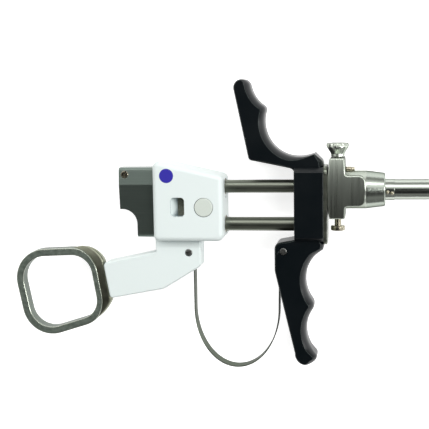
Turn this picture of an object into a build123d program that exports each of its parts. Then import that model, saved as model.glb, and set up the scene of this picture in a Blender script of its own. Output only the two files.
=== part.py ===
from build123d import *
import os
from math import cos, radians, sin

# The working element of a resectoscope with its inner sheath locked on, lying on its side.
# +X runs forwards along the sheath, +Y towards the index finger's hook, +Z out of the side that faces up.
# The origin is on the sheath tube's axis, in the end face of its cone. Lengths are in millimetres.

# ---- driving dimensions ----
tube_radius = 4.0
tube_bore = 3.6
ceramic_start = 183.0
tube_tip = 195.0
ceramic_radius = 3.8
shank_radius = 3.8
scope_y = 1.4
rod_spacing = 15.2
guide_y = scope_y - rod_spacing
scope_tube_radius = 2.65
scope_bore = 2.1
guide_radius = 2.8
electrode_y = -2.85
electrode_bore = 0.65
channel_radius = 0.85
keyway_half = 1.6

running = 0.05
snug = 0.02
body_gap = 0.3

half_depth = 9.0
grip_half = 6.75
arm_half = 4.8
rear_half = 5.5
housing_half = 7.5

plate_back = -23.8
plate_front = -22.5
hub_back = -35.3
block_front = -63.35
block_back = -91.75
block_floor = -19.95
block_rim = 2.0
rear_front = block_back - body_gap
rear_face = -106.4

grip_pin_xy = (-39.8, -24.1)
arm_pin_xy = (-78.2, -25.1)
pin_radius = 1.5
leaf_thickness = 0.45
leaf_width = 5.5
leaf_pocket_half = 3.1
eye_radius = pin_radius + running + leaf_thickness / 2

lock_x = -18.45
lock_plate_half = 1.4
lock_spring_top = 11.4
plunger_radius = 1.3
nose_radius = 4.7
groove_radius = 3.8

arm_tilt = 10.0
arm_end = (-112.7, -37.0)
ring_reach = 21.0
ring_band = 3.0
ring_half = 2.8
saddle_half = 2.3
pivot_radius = 1.4

window_x = -81.7
window_y = -6.15
window_floor = 4.6
button_xy = (-71.1, -6.25)
button_radius = 3.7
button_top = 9.15
button_thickness = 2.25
button_travel = 1.5
marker_xy = (-85.9, 6.4)
marker_radius = 2.85
socket_xy = (window_x, -6.2)


def across(x, y=0.0, z=0.0):
    """A plane square to X, with its own x along +Y and its own y along +Z."""
    return Plane(origin=(x, y, z), x_dir=(0, 1, 0), z_dir=(1, 0, 0))


def level(y, x=0.0, z=0.0):
    """A plane square to Y, with its own x along +Z and its own y along +X."""
    return Plane(origin=(x, y, z), x_dir=(0, 0, 1), z_dir=(0, 1, 0))


def side(z, xy=(0.0, 0.0)):
    """A plane square to Z at the height z."""
    return Plane(origin=(xy[0], xy[1], z), x_dir=(1, 0, 0), z_dir=(0, 0, 1))


def tilted(z, along=0.0):
    """A plane square to Z whose x runs along the thumb arm, from the ring's centre."""
    c, s = cos(radians(arm_tilt)), sin(radians(arm_tilt))
    origin = (arm_end[0] + (along - ring_reach) * c, arm_end[1] + (along - ring_reach) * s, z)
    return Plane(origin=origin, x_dir=(c, s, 0), z_dir=(0, 0, 1))


def along_arm(distance):
    """A plane square to the thumb arm's axis, at a distance from the ring's centre."""
    plane = tilted(0, distance)
    return Plane(origin=plane.origin, x_dir=(0, 0, 1), z_dir=plane.x_dir)


def bar(plane, radius, length, mode=Mode.ADD):
    """A round bar, or a round hole with Mode.SUBTRACT, from the plane along its normal."""
    with Locations(plane):
        Cylinder(radius, length, align=(Align.CENTER, Align.CENTER, Align.MIN), mode=mode)


def brick(x, y, z, mode=Mode.ADD):
    """A box from three (low, high) pairs."""
    with Locations((x[0], y[0], z[0])):
        Box(x[1] - x[0], y[1] - y[0], z[1] - z[0], align=Align.MIN, mode=mode)


# ---- black finger grip: hook, hub and two-finger grip in one moulding ----
hook_cusp = (-46.0, 32.7)
finger_cusp = (-27.0, -46.1)
lower_heel = (-26.6, -66.6)


def finger_side():
    """The finger side, from the hook's tip down to the lower tip, with its two cusps left sharp."""
    ThreePointArc((-58.8, 40.1), (-55.6, 44.0), (-52.6, 42.0))
    ThreePointArc((-52.6, 42.0), (-50.6, 36.9), hook_cusp)
    ThreePointArc(hook_cusp, (-42.9, 17.3), (-27.3, 14.6))
    Polyline((-27.3, 14.6), (-24.3, 11.8), (plate_back, 9.6), (plate_back, -21.6), (-24.1, -23.4))
    ThreePointArc((-24.1, -23.4), (-31.2, -34.6), finger_cusp)
    ThreePointArc(finger_cusp, (-31.0, -57.2), lower_heel)
    ThreePointArc(lower_heel, (-31.1, -70.2), (-35.5, -65.4))


def palm_side():
    """The palm side, from the lower tip up past the hub to the hook's tip."""
    FilletPolyline(
        (-35.5, -65.4),
        (-43.3, -32.0),
        (-43.3, -20.9),
        (hub_back, -19.4),
        (hub_back, 8.6),
        (-53.1, 12.3),
        (-58.8, 40.1),
        radius=[5.0, 2.6, 0.5, 2.0, 1.6],
    )


def nearest(corners, point):
    """The corner of a sketch that lies nearest to a point."""
    return corners.sort_by_distance(Vector(*point))[0]


hub_section = [(9.3, grip_half), (7.6, half_depth), (-18.4, half_depth), (-20.0, grip_half)]
screw_seats = [(7.4, 5.4), (7.4, -5.4), (-18.3, 4.6), (-18.3, -4.6)]
screw_thread = 0.95

with BuildPart() as finger_grip:
    with BuildSketch(side(-grip_half)) as grip_outline:
        with BuildLine():
            finger_side()
            palm_side()
        make_face()
        fillet(nearest(grip_outline.vertices(), hook_cusp), 2.0)
        fillet(nearest(grip_outline.vertices(), finger_cusp), 3.0)
        fillet(nearest(grip_outline.vertices(), lower_heel), 1.6)
    extrude(amount=2 * grip_half)
    # The hub stands out on both sides, with a bevel above and below.
    with BuildSketch(across(hub_back)):
        with BuildLine():
            Polyline(*hub_section, *[(y, -z) for y, z in reversed(hub_section)], close=True)
        make_face()
    extrude(amount=plate_back - hub_back)
    hub_length = plate_back - hub_back + 2
    bar(across(hub_back - 1, scope_y), scope_tube_radius + snug, hub_length, Mode.SUBTRACT)
    bar(across(hub_back - 1, guide_y), guide_radius + snug, hub_length, Mode.SUBTRACT)
    # The electrode's rod runs in a keyway under the telescope tube.
    keyway_x = (hub_back - 1, plate_back + 1)
    keyway_y = (electrode_y - keyway_half, scope_y)
    brick(keyway_x, keyway_y, (-keyway_half, keyway_half), Mode.SUBTRACT)
    for seat_y, seat_z in screw_seats:
        bar(across(plate_back - 5.0, seat_y, seat_z), screw_thread + snug, 6.0, Mode.SUBTRACT)
    # The leaf spring's pocket opens towards the palm.
    with BuildSketch(side(-leaf_pocket_half)):
        with BuildLine():
            Polyline((-45.0, -22.0), (-37.3, -22.0), (-37.3, -30.0), (-40.0, -50.0), (-45.0, -50.0), close=True)
        make_face()
    extrude(amount=2 * leaf_pocket_half, mode=Mode.SUBTRACT)
    bar(side(-grip_half - 1, grip_pin_xy), pin_radius + snug, 2 * grip_half + 2, Mode.SUBTRACT)

with BuildPart() as grip_pin:
    bar(side(-grip_half + 0.1, grip_pin_xy), pin_radius, 2 * grip_half - 0.2)
    chamfer(grip_pin.edges().filter_by(GeomType.CIRCLE), 0.25)


# ---- face plate on the grip's front, with its screws and the coupling nose ----
with BuildPart() as face_plate:
    with BuildSketch(across(plate_back, -5.8)):
        RectangleRounded(31.0, 2 * housing_half, 3.0)
    extrude(amount=plate_front - plate_back)
    bar(across(plate_back - 1, scope_y), scope_tube_radius + snug, 4.0, Mode.SUBTRACT)
    bar(across(plate_back - 1, electrode_y), channel_radius, 4.0, Mode.SUBTRACT)
    with Locations(*[across(plate_front, y, z) for y, z in screw_seats]):
        CounterSinkHole(radius=screw_thread + running, counter_sink_radius=1.9, counter_sink_angle=90)

with BuildPart() as face_plate_screws:
    for seat_y, seat_z in screw_seats:
        bar(across(plate_back - 4.7, seat_y, seat_z), screw_thread, 5.1)
        with Locations(across(plate_front - 0.475, seat_y, seat_z)):
            Cone(screw_thread, 1.8, 0.85)
    with BuildSketch(across(plate_front)):
        with Locations(*screw_seats):
            Rectangle(4.0, 0.45)
    extrude(amount=-0.5, mode=Mode.SUBTRACT)

with BuildPart() as coupling_nose:
    with BuildSketch(Plane.XY):
        with BuildLine():
            Polyline(
                (plate_front, 0),
                (plate_front, nose_radius),
                (lock_x - 1.65, nose_radius),
                (lock_x - 1.65, groove_radius),
                (lock_x + 1.65, groove_radius),
                (lock_x + 1.65, nose_radius),
                (-15.3, nose_radius),
                (-15.3, groove_radius),
                (-14.1, groove_radius),
                (-14.1, nose_radius),
                (-13.4, nose_radius),
                (-13.0, nose_radius - 0.4),
                (-13.0, 0),
                close=True,
            )
        make_face()
    revolve(axis=Axis.X)
    bar(across(plate_front - 1, scope_y), scope_bore, 11.0, Mode.SUBTRACT)
    bar(across(plate_front - 1, electrode_y), channel_radius, 11.0, Mode.SUBTRACT)

with BuildPart() as nose_seal:
    with BuildSketch(Plane.XY):
        with Locations((-14.7, 4.29)):
            Circle(0.47)
    revolve(axis=Axis.X)


# ---- the two rods and the rear block that joins them ----
scope_seat = -104.0
guide_end = -97.6

with BuildPart() as telescope_tube:
    bar(across(scope_seat, scope_y), scope_tube_radius, plate_front - scope_seat)
    bar(across(scope_seat - 1, scope_y), scope_bore, 90.0, Mode.SUBTRACT)

with BuildPart() as guide_rod:
    bar(across(guide_end, guide_y), guide_radius, plate_back - guide_end)
    chamfer(guide_rod.edges().filter_by(GeomType.CIRCLE), 0.3)

rear_top = 9.4
rear_bottom = -18.65
notch_top = -7.3
roof_start = 2.6
notch_radius = 6.0
rear_step = -98.9
clamp_screw_xy = (-103.9, 6.6)
clamp_screw_radius = 1.55
clamp_screw_top = 4.8

with BuildPart() as rear_block:
    with BuildSketch(side(-rear_half)):
        with BuildLine():
            Polyline(
                (rear_step, notch_top - notch_radius),
                (rear_step, rear_bottom),
                (rear_front, rear_bottom),
                (rear_front, rear_top),
                (rear_face, rear_top),
                (rear_face + 0.5, notch_top),
                (rear_step - notch_radius, notch_top),
            )
            CenterArc((rear_step - notch_radius, notch_top - notch_radius), notch_radius, 0, 90)
        make_face()
    extrude(amount=2 * rear_half)
    # In the upper part both faces lean inwards, like a roof.
    with BuildSketch(across(rear_face - 1)):
        for sign in (1, -1):
            with BuildLine():
                Polyline(
                    (roof_start, sign * rear_half),
                    (rear_top + 1, sign * (rear_half - 1.5)),
                    (rear_top + 1, sign * (rear_half + 2)),
                    (roof_start, sign * (rear_half + 2)),
                    close=True,
                )
            make_face()
    extrude(amount=rear_front - rear_face + 2, mode=Mode.SUBTRACT)
    long_edges = rear_block.edges().filter_by(Axis.X).group_by(Axis.Y)
    chamfer(long_edges[-1] + long_edges[0], 0.9)
    bar(across(scope_seat, scope_y), scope_tube_radius + snug, 13.0, Mode.SUBTRACT)
    bar(across(guide_end, guide_y), guide_radius + snug, 7.0, Mode.SUBTRACT)
    with Locations(across((rear_face + scope_seat) / 2, scope_y)):
        Cone(3.7, scope_bore + 0.1, scope_seat - rear_face, mode=Mode.SUBTRACT)
    bar(side(2.2, clamp_screw_xy), clamp_screw_radius + snug, 5.0, Mode.SUBTRACT)

with BuildPart() as clamp_screw:
    bar(side(2.3, clamp_screw_xy), clamp_screw_radius, clamp_screw_top - 2.3)
    chamfer(clamp_screw.faces().sort_by(Axis.Z)[-1].edges(), 0.25)
    with BuildSketch(side(clamp_screw_top, clamp_screw_xy)):
        Rectangle(0.45, 4.0, rotation=-20)
    extrude(amount=-0.8, mode=Mode.SUBTRACT)


# ---- leaf spring: one ribbon bent to a U, with an eye round each pin ----
arm_leaf_x = arm_pin_xy[0] + eye_radius
grip_leaf_x = grip_pin_xy[0] - eye_radius
leaf_slant = 0.4
leaf_bend_y = -48.0
leaf_depth = 24.3
leaf_bottom_x = (arm_leaf_x + grip_leaf_x - leaf_slant) / 2
leaf_half_span = (grip_leaf_x - leaf_slant - arm_leaf_x) / 2

with BuildPart() as leaf_spring:
    with BuildSketch(side(-leaf_width / 2)):
        with BuildLine():
            CenterArc(arm_pin_xy, eye_radius, 0, 290)
            Line((arm_leaf_x, arm_pin_xy[1]), (arm_leaf_x, leaf_bend_y))
            EllipticalCenterArc((leaf_bottom_x, leaf_bend_y), leaf_half_span, leaf_depth, 180, arc_size=180)
            Line((grip_leaf_x - leaf_slant, leaf_bend_y), (grip_leaf_x, grip_pin_xy[1]))
            CenterArc(grip_pin_xy, eye_radius, 180, -290)
        trace(line_width=leaf_thickness)
    extrude(amount=leaf_width)


# ---- inner sheath: lock housing, cone, tube and tip ----
housing_back = plate_front + 0.1
housing_front = -7.4
neck_front = -15.3
neck_top = 12.9
foot_bottom = -11.0
pad_half = 6.1
stud_y = 8.1
stud_seat = -16.2

with BuildPart() as sheath_housing:
    with BuildSketch(side(-housing_half)):
        with BuildLine():
            FilletPolyline(
                (-21.4, neck_top),
                (-15.6, neck_top),
                (neck_front, pad_half),
                (housing_front, pad_half),
                (housing_front, -pad_half),
                (neck_front, -pad_half),
                (-15.5, foot_bottom),
                (-21.6, foot_bottom),
                (housing_back, -5.0),
                (housing_back, 5.5),
                radius=[0.9, 0.9, 0.8, 3.0, 3.0, 0.8, 0.7, 0.7, 6.0, 6.0],
                close=True,
            )
        make_face()
    extrude(amount=2 * housing_half)
    neck_rims = sheath_housing.faces().filter_by(Axis.Z).edges()
    neck_rims = neck_rims.filter_by_position(Axis.X, -30.0, neck_front - 0.1)
    fillet(neck_rims, 0.6)
    bar(across(neck_front), housing_half, housing_front - neck_front)
    bar(across(housing_back - 1), nose_radius + 0.1, 10.6, Mode.SUBTRACT)
    bar(across(-14.0), shank_radius + snug, 8.0, Mode.SUBTRACT)
    brick(
        (lock_x - lock_plate_half - 0.1, lock_x + lock_plate_half + 0.1),
        (-8.5, 8.8),
        (-6.2, 6.2),
        Mode.SUBTRACT,
    )
    bar(level(6.5, lock_x), 2.35, lock_spring_top - 6.5, Mode.SUBTRACT)
    bar(level(8.0, lock_x), 1.55, 8.0, Mode.SUBTRACT)
    bar(level(foot_bottom - 1, lock_x), plunger_radius + running, 5.0, Mode.SUBTRACT)
    bar(across(stud_seat, stud_y), 1.0 + snug, 12.0, Mode.SUBTRACT)

with BuildPart() as index_stud:
    bar(across(stud_seat, stud_y), 1.0, 3.3)
    bar(across(stud_seat, stud_y), 0.8, 4.4)

with BuildPart() as sheath_cone:
    with BuildSketch(Plane.XY):
        with BuildLine():
            Polyline(
                (housing_front, shank_radius + snug),
                (housing_front, housing_half),
                (-0.4, 6.6),
                (0, 6.2),
                (0, shank_radius + snug),
                close=True,
            )
        make_face()
    revolve(axis=Axis.X)

# The tube is turned down where it is pressed into the cone and the housing.
tube_start = -12.7
collar_radius = 4.2
collar_length = 3.6

with BuildPart() as sheath_tube:
    bar(across(tube_start), shank_radius, -tube_start)
    bar(across(0), collar_radius, collar_length)
    bar(across(collar_length), tube_radius, ceramic_start - collar_length)
    bar(across(tube_start - 1), tube_bore, ceramic_start - tube_start + 2, Mode.SUBTRACT)

with BuildPart() as insulating_tip:
    bar(across(ceramic_start), ceramic_radius, tube_tip - ceramic_start)
    fillet(insulating_tip.edges().filter_by(GeomType.CIRCLE).sort_by(Axis.X)[-1], 0.3)
    bar(across(ceramic_start - 1), tube_bore, tube_tip - ceramic_start + 2, Mode.SUBTRACT)

with BuildPart() as index_pips:
    with Locations((0.9, -0.7, collar_radius - 0.05), (2.7, -1.1, collar_radius - 0.15)):
        Sphere(0.75)
    bar(across(-1), collar_radius, 6.0, Mode.SUBTRACT)


# ---- sheath lock: sliding plate with a knob above and a push button below ----
lock_plate_top = 6.6
lock_plate_bottom = -8.2
lock_hole_radius = 4.9
lock_catch = 4.3

with BuildPart() as lock_plate:
    with BuildSketch(across(lock_x - lock_plate_half)):
        with Locations(((lock_plate_top + lock_plate_bottom) / 2, 0)):
            RectangleRounded(lock_plate_top - lock_plate_bottom, 12.0, 1.2)
        with Locations((lock_catch - lock_hole_radius, 0), (lock_catch - lock_hole_radius - 1.5, 0)):
            Circle(lock_hole_radius, mode=Mode.SUBTRACT)
        with Locations((lock_catch - lock_hole_radius - 0.75, 0)):
            Rectangle(1.5, 2 * lock_hole_radius, mode=Mode.SUBTRACT)
    extrude(amount=2 * lock_plate_half)
    bar(level(lock_plate_top, lock_x), lock_plate_half, 7.0)

with BuildPart() as lock_knob:
    with BuildSketch(Plane.XY):
        with BuildLine():
            Polyline(
                (lock_x + lock_plate_half + snug, 13.2),
                (lock_x + 2.6, 13.2),
                (lock_x + 2.7, 14.4),
                (lock_x + 4.1, 16.6),
                (lock_x + 4.4, 17.2),
                (lock_x + 4.4, 18.0),
                (lock_x + 4.1, 18.4),
                (lock_x + 2.6, 18.4),
                (lock_x + lock_plate_half + snug, 18.0),
                close=True,
            )
        make_face()
    revolve(axis=Axis((lock_x, 0, 0), (0, 1, 0)))
    with BuildSketch(level(15.0, lock_x)):
        with PolarLocations(4.8, 14):
            Circle(0.65)
    extrude(amount=5.0, mode=Mode.SUBTRACT)

plunger_head_bottom = -16.3
plunger_head_top = -14.3

with BuildPart() as lock_button:
    bar(level(plunger_head_bottom, lock_x), 2.8, plunger_head_top - plunger_head_bottom)
    fillet(lock_button.edges().filter_by(GeomType.CIRCLE), 0.45)
    bar(level(plunger_head_top - 0.5, lock_x), plunger_radius, lock_plate_bottom - plunger_head_top + 0.5)

with BuildPart() as lock_spring:
    lock_wire = 0.22
    lock_path = Helix(
        1.0,
        lock_spring_top - lock_plate_top - 2 * lock_wire - 0.1,
        1.95,
        center=(lock_x, lock_plate_top + lock_wire, 0),
        direction=(0, 1, 0),
        mode=Mode.PRIVATE,
    )
    with BuildSketch(Plane(origin=lock_path @ 0, z_dir=lock_path % 0)):
        Circle(lock_wire)
    sweep(path=lock_path, is_frenet=True)


# ---- white slide block with its bushes ----
upper_bush_radius = 3.3
lower_bush_radius = 3.6
bush_length = 6.0
bush_fit = 0.05
rod_clearance = 0.25
window_half_width = 2.85
window_half_height = 3.85
window_corner = 1.5
clamp_floor = -2.5
clamp_top_y = -1.9
clamp_bottom_y = -9.1
clamp_x = (-82.2, -68.9)
clamp_head_x = (-82.2, -79.1)
latch_top = 1.5
stem_radius = 1.2
stem_bottom = -3.2
stem_flange = 1.7
button_well = 2.4
socket_radius = 3.0
tongue_x = (-89.5, -76.0)
tongue_height = 1.4
tongue_half = 3.0
arm_screw_x = (-88.2, -83.6)
arm_screw_radius = 1.0
arm_screw_top = -17.9

with BuildPart() as slide_block:
    with BuildSketch(side(-half_depth)):
        with BuildLine():
            FilletPolyline(
                (block_back, 12.75),
                (block_front, 6.15),
                (block_front, block_floor),
                (block_back, block_floor),
                radius=[2.6, 2.4, 2.8, 2.3],
                close=True,
            )
        make_face()
    extrude(amount=2 * half_depth)
    fillet(slide_block.faces().filter_by(Axis.Z).edges(), block_rim)
    # The two rod bores, stepped at both ends for the bushes.
    for bore_y, rod_radius, bush_radius in (
        (scope_y, scope_tube_radius, upper_bush_radius),
        (guide_y, guide_radius, lower_bush_radius),
    ):
        bar(across(block_back - 1, bore_y), rod_radius + rod_clearance, 30.0, Mode.SUBTRACT)
        bar(across(block_back - 1, bore_y), bush_radius + snug, bush_length + 1, Mode.SUBTRACT)
        bar(across(block_front - bush_length, bore_y), bush_radius + snug, bush_length + 1, Mode.SUBTRACT)
    # The window has round corners, and its rear wall slopes down to the clamp in its own chamber.
    with BuildSketch(side(latch_top, (window_x, window_y))):
        RectangleRounded(2 * window_half_width, 2 * window_half_height, window_corner)
    extrude(amount=half_depth, mode=Mode.SUBTRACT)
    slope_foot = clamp_head_x[0] - 0.1
    with BuildSketch(level(window_y - window_half_height)):
        with BuildLine():
            Polyline(
                (latch_top, window_x - window_half_width - 0.5),
                (half_depth - 0.8, window_x - window_half_width - 0.5),
                (half_depth - 0.8, window_x - window_half_width + 0.1),
                (window_floor, slope_foot),
                (latch_top, slope_foot),
                close=True,
            )
        make_face()
    extrude(amount=2 * window_half_height)
    brick(
        (clamp_x[0] - 0.1, clamp_x[1] + 0.1),
        (clamp_bottom_y - 0.1, clamp_top_y + 0.05),
        (clamp_floor - 0.05, latch_top + 0.05),
        Mode.SUBTRACT,
    )
    bar(across(clamp_x[1], electrode_y), electrode_bore, 8.0, Mode.SUBTRACT)
    # The release button's bore, its spring's well and the room for its stem's flange.
    button_floor = button_top - button_thickness - button_travel - 0.2
    bar(side(button_floor, button_xy), button_radius + 0.15, 6.0, Mode.SUBTRACT)
    bar(side(latch_top, button_xy), button_well, 6.0, Mode.SUBTRACT)
    bar(side(stem_bottom - button_travel - 0.2, button_xy), stem_flange + 0.2, 3.0, Mode.SUBTRACT)
    bar(side(half_depth - 0.8, marker_xy), marker_radius + snug, 2.0, Mode.SUBTRACT)
    bar(side(-half_depth - 1, socket_xy), socket_radius + snug, half_depth + 1 + clamp_floor, Mode.SUBTRACT)
    brick(tongue_x, (block_floor - 1, block_floor + tongue_height), (-tongue_half, tongue_half), Mode.SUBTRACT)
    for screw_x in arm_screw_x:
        bar(level(block_floor - 1, screw_x), arm_screw_radius + snug, arm_screw_top - block_floor + 1.1, Mode.SUBTRACT)

with BuildPart() as upper_bush:
    for start in (block_back + 0.1, block_front - bush_length):
        bar(across(start, scope_y), upper_bush_radius, bush_length - 0.1)
        bar(across(start - 1, scope_y), scope_tube_radius + bush_fit, bush_length + 2, Mode.SUBTRACT)

with BuildPart() as lower_bush:
    for start in (block_back + 0.1, block_front - bush_length):
        bar(across(start, guide_y), lower_bush_radius, bush_length - 0.1)
        bar(across(start - 1, guide_y), guide_radius + bush_fit, bush_length + 2, Mode.SUBTRACT)

with BuildPart() as marker_plug:
    bar(side(half_depth - 0.8, marker_xy), marker_radius, 0.82)

with BuildPart() as hf_socket:
    bar(side(-half_depth, socket_xy), socket_radius, half_depth + clamp_floor)
    bar(side(-half_depth - 1, socket_xy), 2.0, 6.5, Mode.SUBTRACT)


# ---- electrode clamp, release button and its spring ----
with BuildPart() as electrode_clamp:
    brick(clamp_x, (clamp_bottom_y, clamp_top_y), (clamp_floor, latch_top))
    with BuildSketch(side(latch_top)) as head_outline:
        with Locations(((clamp_head_x[0] + clamp_head_x[1]) / 2, window_y)):
            Rectangle(clamp_head_x[1] - clamp_head_x[0], 2 * window_half_height - 0.2)
        fillet(head_outline.vertices().group_by(Axis.X)[-1], window_corner)
    extrude(amount=window_floor - latch_top)
    # Its face is grooved both ways, so that it grips a fingertip.
    with BuildSketch(side(window_floor, (sum(clamp_head_x) / 2, window_y))):
        with GridLocations(0.75, 1, 4, 1):
            Rectangle(0.25, 8.0)
        with GridLocations(1, 0.75, 1, 8):
            Rectangle(4.0, 0.25)
    extrude(amount=-0.25, mode=Mode.SUBTRACT)
    bar(across(clamp_x[0] + 1.0, electrode_y), electrode_bore, 20.0, Mode.SUBTRACT)
    bar(side(clamp_floor - 1, button_xy), stem_radius + 0.1, 6.0, Mode.SUBTRACT)

with BuildPart() as release_button:
    bar(side(button_top - button_thickness, button_xy), button_radius, button_thickness)
    fillet(release_button.edges().filter_by(GeomType.CIRCLE).group_by(Axis.Z)[-1], 0.35)
    bar(side(stem_bottom, button_xy), stem_radius, button_top - button_thickness - stem_bottom)
    bar(side(stem_bottom, button_xy), stem_flange, 0.5)

with BuildPart() as button_spring:
    button_wire = 0.2
    button_path = Helix(
        1.25,
        button_top - button_thickness - latch_top - 2 * button_wire,
        1.8,
        center=(button_xy[0], button_xy[1], latch_top + button_wire),
        mode=Mode.PRIVATE,
    )
    with BuildSketch(Plane(origin=button_path @ 0, z_dir=button_path % 0)):
        Circle(button_wire)
    sweep(path=button_path, is_frenet=True)


# ---- thumb arm with its screws and pin ----
def beside_end(height):
    """A point on the arm's end face, at a height along that face from the arm's axis."""
    c, s = cos(radians(arm_tilt)), sin(radians(arm_tilt))
    return (arm_end[0] - height * s, arm_end[1] + height * c)


arm_end_half = 7.5
arm_back = -91.7
arm_front = -73.3
pivot_length = 11.0
groove_start = 26.6
groove_width = 2.2
pivot_groove_radius = 0.95
retainer_radius = 0.8

with BuildPart() as thumb_arm:
    with BuildSketch(side(-arm_half)):
        with BuildLine():
            FilletPolyline(
                beside_end(arm_end_half),
                (arm_back, -25.0),
                (arm_back, block_floor),
                (arm_front, block_floor),
                (arm_front, -30.6),
                (-88.8, -40.1),
                beside_end(-arm_end_half),
                radius=[1.6, 0.8, 0, 0, 1.5, 6.0, 1.3],
                close=True,
            )
        make_face()
    extrude(amount=2 * arm_half)
    arm_rims = thumb_arm.faces().filter_by(Axis.Z).edges().filter_by_position(Axis.Y, -50.0, block_floor - 0.1)
    chamfer(arm_rims, 0.5)
    brick((tongue_x[0] + 0.05, tongue_x[1] - 0.05), (block_floor, block_floor + tongue_height), (-tongue_half + 0.05, tongue_half - 0.05))
    brick((-80.8, -75.7), (-45.0, -22.6), (-leaf_pocket_half, leaf_pocket_half), Mode.SUBTRACT)
    bar(side(-arm_half - 1, arm_pin_xy), pin_radius + snug, 2 * arm_half + 2, Mode.SUBTRACT)
    bar(along_arm(ring_reach - 1), pivot_radius + running, pivot_length + 1.3, Mode.SUBTRACT)
    for screw_x in arm_screw_x:
        bar(level(-50.0, screw_x), arm_screw_radius + snug, 40.0, Mode.SUBTRACT)
        bar(level(-50.0, screw_x), 1.95, 50.0 - 27.0, Mode.SUBTRACT)
    bar(tilted(-arm_half - 1, groove_start + groove_width / 2), retainer_radius + snug, arm_half, Mode.SUBTRACT)
    bar(tilted(-arm_half - 1, groove_start + groove_width / 2), 1.4, 2.0, Mode.SUBTRACT)

with BuildPart() as arm_screws:
    for screw_x in arm_screw_x:
        bar(level(-27.0, screw_x), arm_screw_radius, 27.0 + arm_screw_top)
        bar(level(-29.0, screw_x), 1.9, 2.0)
        with BuildSketch(level(-29.0, screw_x)):
            RegularPolygon(0.9, 6)
        extrude(amount=1.0, mode=Mode.SUBTRACT)

with BuildPart() as arm_pin:
    bar(side(-arm_half + 0.1, arm_pin_xy), pin_radius, 2 * arm_half - 0.2)
    chamfer(arm_pin.edges().filter_by(GeomType.CIRCLE), 0.25)

with BuildPart() as retaining_screw:
    bar(tilted(-arm_half + 0.1, groove_start + groove_width / 2), 1.35, 0.85)
    bar(tilted(-arm_half + 0.1, groove_start + groove_width / 2), retainer_radius, arm_half - 0.1 - pivot_groove_radius - 0.15)
    with BuildSketch(tilted(-arm_half + 0.1, groove_start + groove_width / 2)):
        Rectangle(0.4, 4.0)
    extrude(amount=0.45, mode=Mode.SUBTRACT)


# ---- thumb ring and its pivot ----
def ring_opening():
    """The ring's inner outline, in the plane of the ring."""
    FilletPolyline(
        (-15.1, 15.6),
        (14.9, 11.7),
        (14.6, -13.3),
        (-14.5, -17.2),
        radius=[9.5, 8.5, 8.0, 9.5],
        close=True,
    )


saddle_front = ring_reach - body_gap
pivot_seat = 17.2

with BuildPart() as thumb_ring:
    # The saddle that faces the arm is a little thinner than the band and has bevelled rims.
    with BuildSketch(tilted(-saddle_half)):
        with BuildLine():
            Line((9.0, -12.0), (10.0, -16.3))
            ThreePointArc((10.0, -16.3), (15.4, -13.9), (saddle_front, -8.6))
            Polyline((saddle_front, -8.6), (saddle_front, 8.3))
            ThreePointArc((saddle_front, 8.3), (17.1, 13.6), (11.0, 15.6))
            Polyline((11.0, 15.6), (9.0, 12.0), (9.0, -12.0))
        make_face()
    extrude(amount=2 * saddle_half)
    chamfer(thumb_ring.faces().filter_by(Axis.Z).edges(), 0.8)
    with BuildSketch(tilted(-ring_half)):
        with BuildLine():
            ring_opening()
        make_face()
        offset(amount=ring_band)
    extrude(amount=2 * ring_half)
    with BuildSketch(tilted(-ring_half)):
        with BuildLine():
            ring_opening()
        make_face()
    extrude(amount=2 * ring_half, mode=Mode.SUBTRACT)
    bar(along_arm(pivot_seat), pivot_radius + snug, 5.0, Mode.SUBTRACT)

with BuildPart() as ring_pivot:
    bar(along_arm(pivot_seat), pivot_radius, ring_reach - pivot_seat + pivot_length)
    groove = along_arm(groove_start)
    bar(groove, pivot_radius + 1, groove_width, Mode.SUBTRACT)
    bar(groove, pivot_groove_radius, groove_width)


pieces = {
    "finger_grip": finger_grip,
    "grip_pin": grip_pin,
    "face_plate": face_plate,
    "face_plate_screws": face_plate_screws,
    "coupling_nose": coupling_nose,
    "nose_seal": nose_seal,
    "telescope_tube": telescope_tube,
    "guide_rod": guide_rod,
    "rear_block": rear_block,
    "clamp_screw": clamp_screw,
    "leaf_spring": leaf_spring,
    "sheath_housing": sheath_housing,
    "index_stud": index_stud,
    "sheath_cone": sheath_cone,
    "sheath_tube": sheath_tube,
    "insulating_tip": insulating_tip,
    "index_pips": index_pips,
    "lock_plate": lock_plate,
    "lock_knob": lock_knob,
    "lock_button": lock_button,
    "lock_spring": lock_spring,
    "slide_block": slide_block,
    "upper_bush": upper_bush,
    "lower_bush": lower_bush,
    "marker_plug": marker_plug,
    "hf_socket": hf_socket,
    "electrode_clamp": electrode_clamp,
    "release_button": release_button,
    "button_spring": button_spring,
    "thumb_arm": thumb_arm,
    "arm_screws": arm_screws,
    "arm_pin": arm_pin,
    "retaining_screw": retaining_screw,
    "thumb_ring": thumb_ring,
    "ring_pivot": ring_pivot,
}

os.makedirs("parts", exist_ok=True)
for node_name, piece in pieces.items():
    piece.part.label = node_name
    export_step(piece.part, f"parts/{node_name}.step")
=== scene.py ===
# %% [markdown]
# # A resectoscope's working element
# This lesson dresses a imported CAD model of a surgical hand instrument. The CAD part already fixes
# every size and every joint, so the script only adds finishes and the shapes that CAD left plain:
# eased edges, a moulded grip, a formed steel ring and springs.

# %% Load the frame
import math

import bmesh
import bpy
from mathutils import Matrix, Vector


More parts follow.
